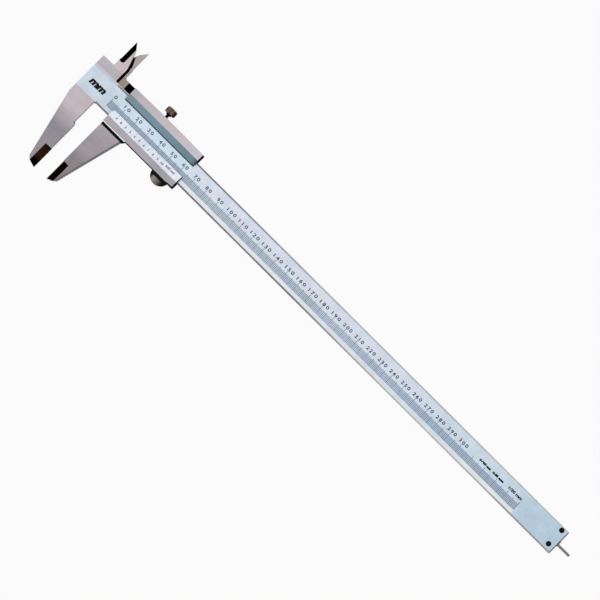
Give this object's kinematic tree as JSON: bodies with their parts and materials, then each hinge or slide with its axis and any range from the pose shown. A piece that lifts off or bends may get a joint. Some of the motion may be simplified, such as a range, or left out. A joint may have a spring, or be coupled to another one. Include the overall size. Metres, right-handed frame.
{
  "type": "vernier caliper",
  "caption": "Vernier caliper with outer jaws, inside jaws, depth bar, finger rest and a knurled lock screw on a sliding jaw.",
  "frame": {"origin": "middle of the outline at rest, on the table plane under the caliper's back", "axes": "+X along the beam from the fixed head to the depth bar's tip, +Y towards the inside jaws, +Z out of the scale face"},
  "size_m": [0.4178, 0.099, 0.0094],
  "materials": {
    "satin_chrome": "satin",
    "ground_steel": "fine ground",
    "dark_steel": "darkened, serrated",
    "bright_steel": "polished",
    "black_oxide": "black oxide",
    "dark_bronze": "dark bronze, knurled",
    "brass": "plain"
  },
  "bodies": {
    "beam": {"main_beam": "satin_chrome", "depth_bar_guide": "satin_chrome", "guide_screw_1": "black_oxide", "guide_screw_2": "black_oxide"},
    "slider": {"slider_body": "ground_steel", "finger_rest": "dark_steel", "gib_set_screw_1": "black_oxide", "gib_set_screw_2": "black_oxide", "slider_back_plate": "satin_chrome", "back_plate_screw_1": "black_oxide", "back_plate_screw_2": "black_oxide", "back_plate_screw_3": "black_oxide", "back_plate_screw_4": "black_oxide", "depth_bar": "bright_steel", "depth_bar_rivet_1": "bright_steel", "depth_bar_rivet_2": "bright_steel"},
    "gib": {"gib_strip": "brass"},
    "lock_screw": {"lock_screw": "dark_bronze"}
  },
  "joints": [
    {"name": "slider_slide", "type": "slide", "parent": "beam", "child": "slider", "axis": [1, 0, 0], "range_m": [-0.01025, 0.305]},
    {"name": "gib_press", "type": "slide", "parent": "slider", "child": "gib", "axis": [0, -1, 0], "range_m": [0, 0.000249]},
    {"name": "lock_turn", "type": "hinge", "parent": "gib", "child": "lock_screw", "pos_m": [-0.1554, 0.0339, 0.005], "axis": [0, -1, 0], "range_deg": [0, 180]}
  ],
  "couplings": [
    {"joint": "lock_turn", "follows": "gib_press", "rad_per_m": 12566}
  ]
}
